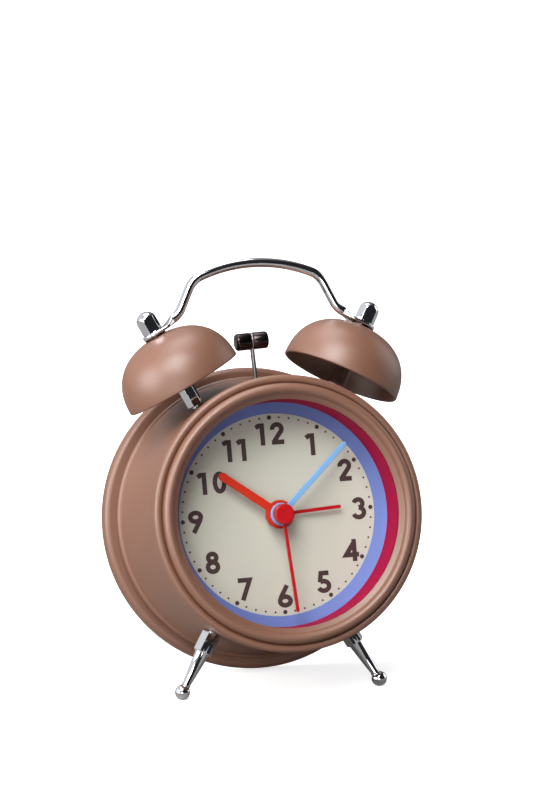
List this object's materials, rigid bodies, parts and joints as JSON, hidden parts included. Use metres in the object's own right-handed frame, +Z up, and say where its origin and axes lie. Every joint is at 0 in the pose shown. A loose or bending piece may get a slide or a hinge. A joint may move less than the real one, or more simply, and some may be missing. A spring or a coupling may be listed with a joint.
{
  "type": "alarm clock",
  "caption": "Twin-bell alarm clock with a round drum case, swinging hammer, arched carrying handle, splayed front legs and a numbered dial under flat glass.",
  "frame": {"origin": "centre of the object's base on the table, under the middle of its box", "axes": "+Z up, -Y out of the dial towards the reader, +X to the reader's right"},
  "size_m": [0.09, 0.0698, 0.1236],
  "materials": {
    "paint": "satin matte cocoa paint on steel",
    "chrome": "bright chrome plating",
    "black_nickel": "black nickel plating",
    "steel": "plain zinc-plated steel",
    "brass": "turned brass",
    "black_plastic": "fine-textured black plastic",
    "white_plastic": "natural white plastic",
    "dial_card": "printed cream card",
    "periwinkle": "satin periwinkle plastic",
    "magenta": "satin magenta plastic",
    "glass": "clear flat glass",
    "hand_hour": "orange-red lacquer",
    "hand_minute": "light blue lacquer",
    "hand_red": "red lacquer",
    "circuit": "green circuit board",
    "copper": "enamelled copper winding",
    "cell_wrap": "printed sleeve over a steel can"
  },
  "bodies": {
    "case": {"drum": "paint", "front_bezel": "paint", "rear_ring": "paint", "lens": "glass", "dial": "dial_card", "reflector_ring": "periwinkle", "dial_wall": "magenta", "rear_cover": "black_plastic", "cover_screws": "steel", "battery_tray": "black_plastic", "battery_cell": "cell_wrap", "contact_plus": "steel", "contact_minus": "steel", "leg_left": "chrome", "leg_right": "chrome", "leg_nuts": "steel", "bell_left": "paint", "bell_right": "paint", "post_left": "chrome", "post_right": "chrome", "post_nuts": "steel", "bell_washers": "black_plastic", "handle": "chrome", "cap_nuts": "chrome", "motor_bracket": "black_plastic", "bell_motor": "steel", "hammer_pin": "steel", "movement_front": "white_plastic", "movement_plate": "white_plastic", "movement_back": "white_plastic", "movement_screws": "steel", "circuit_board": "circuit", "quartz_crystal": "steel", "stator": "steel", "coil": "copper"},
    "hammer": {"hammer_arm": "steel", "hammer_head": "black_nickel"},
    "motor_shaft": {"motor_pinion": "brass"},
    "striker": {"striker_wheel": "white_plastic"},
    "second": {"seconds_wheel": "white_plastic", "second_hand": "hand_red"},
    "rotor": {"rotor": "black_plastic"},
    "fifth": {"fifth_wheel": "white_plastic"},
    "third": {"third_wheel": "white_plastic"},
    "centre": {"centre_wheel": "brass"},
    "minute": {"minute_pipe": "brass", "minute_hand": "hand_minute"},
    "motion_wheel": {"minute_wheel": "white_plastic"},
    "hour": {"hour_wheel": "white_plastic", "hour_hand": "hand_hour"},
    "alarm": {"alarm_wheel": "white_plastic", "alarm_hand": "hand_red"},
    "time_setter": {"time_knob": "black_plastic"},
    "alarm_setter": {"alarm_knob": "black_plastic"},
    "switch": {"alarm_switch": "white_plastic"},
    "door": {"battery_door": "black_plastic"}
  },
  "joints": [
    {"name": "hammer_swing", "type": "hinge", "parent": "case", "child": "hammer", "pos_m": [0, 0.00271, 0.06333], "axis": [0, 0.9642, -0.2653], "range_deg": [-2.19, 8.59]},
    {"name": "striker_spin", "type": "hinge", "parent": "case", "child": "striker", "pos_m": [0, -0.00278, 0.07729], "axis": [0, 0.9642, -0.2653], "continuous": true},
    {"name": "motor_spin", "type": "hinge", "parent": "case", "child": "motor_shaft", "pos_m": [0.00675, -0.00278, 0.07729], "axis": [0, 0.9642, -0.2653], "continuous": true},
    {"name": "second_spin", "type": "hinge", "parent": "case", "child": "second", "pos_m": [0, -0.00968, 0.05222], "axis": [0, 0.9642, -0.2653], "continuous": true},
    {"name": "rotor_spin", "type": "hinge", "parent": "case", "child": "rotor", "pos_m": [0.01202, -0.00816, 0.05773], "axis": [0, 0.9642, -0.2653], "continuous": true},
    {"name": "fifth_spin", "type": "hinge", "parent": "case", "child": "fifth", "pos_m": [0.00624, -0.00872, 0.05569], "axis": [0, 0.9642, -0.2653], "continuous": true},
    {"name": "third_spin", "type": "hinge", "parent": "case", "child": "third", "pos_m": [-0.00677, -0.00902, 0.0546], "axis": [0, 0.9642, -0.2653], "continuous": true},
    {"name": "centre_spin", "type": "hinge", "parent": "case", "child": "centre", "pos_m": [0, -0.00968, 0.05222], "axis": [0, 0.9642, -0.2653], "continuous": true},
    {"name": "minute_spin", "type": "hinge", "parent": "case", "child": "minute", "pos_m": [0, -0.00968, 0.05222], "axis": [0, 0.9642, -0.2653], "continuous": true},
    {"name": "motion_spin", "type": "hinge", "parent": "case", "child": "motion_wheel", "pos_m": [0.00266, -0.01145, 0.04577], "axis": [0, 0.9642, -0.2653], "continuous": true},
    {"name": "hour_spin", "type": "hinge", "parent": "case", "child": "hour", "pos_m": [0, -0.00968, 0.05222], "axis": [0, 0.9642, -0.2653], "continuous": true},
    {"name": "time_knob_spin", "type": "hinge", "parent": "case", "child": "time_setter", "pos_m": [0.01128, -0.01077, 0.04827], "axis": [0, 0.9642, -0.2653], "continuous": true},
    {"name": "alarm_spin", "type": "hinge", "parent": "case", "child": "alarm", "pos_m": [0, -0.00968, 0.05222], "axis": [0, 0.9642, -0.2653], "continuous": true},
    {"name": "alarm_knob_spin", "type": "hinge", "parent": "case", "child": "alarm_setter", "pos_m": [-0.01128, -0.01077, 0.04827], "axis": [0, 0.9642, -0.2653], "continuous": true},
    {"name": "switch_slide", "type": "slide", "parent": "case", "child": "switch", "axis": [1, 0, 0], "range_m": [0, 0.004]},
    {"name": "door_pull", "type": "slide", "parent": "case", "child": "door", "axis": [0, 0.9642, -0.2653], "range_m": [0, 0.012]}
  ],
  "couplings": [
    {"joint": "motor_spin", "follows": "striker_spin", "ratio": -4},
    {"joint": "fifth_spin", "follows": "second_spin", "ratio": -5},
    {"joint": "rotor_spin", "follows": "second_spin", "ratio": 30},
    {"joint": "third_spin", "follows": "second_spin", "ratio": -0.13333},
    {"joint": "centre_spin", "follows": "second_spin", "ratio": 0.016667},
    {"joint": "motion_spin", "follows": "minute_spin", "ratio": -0.33333},
    {"joint": "hour_spin", "follows": "minute_spin", "ratio": 0.083333},
    {"joint": "time_knob_spin", "follows": "minute_spin", "ratio": 0.5},
    {"joint": "alarm_knob_spin", "follows": "alarm_spin", "ratio": -2}
  ]
}
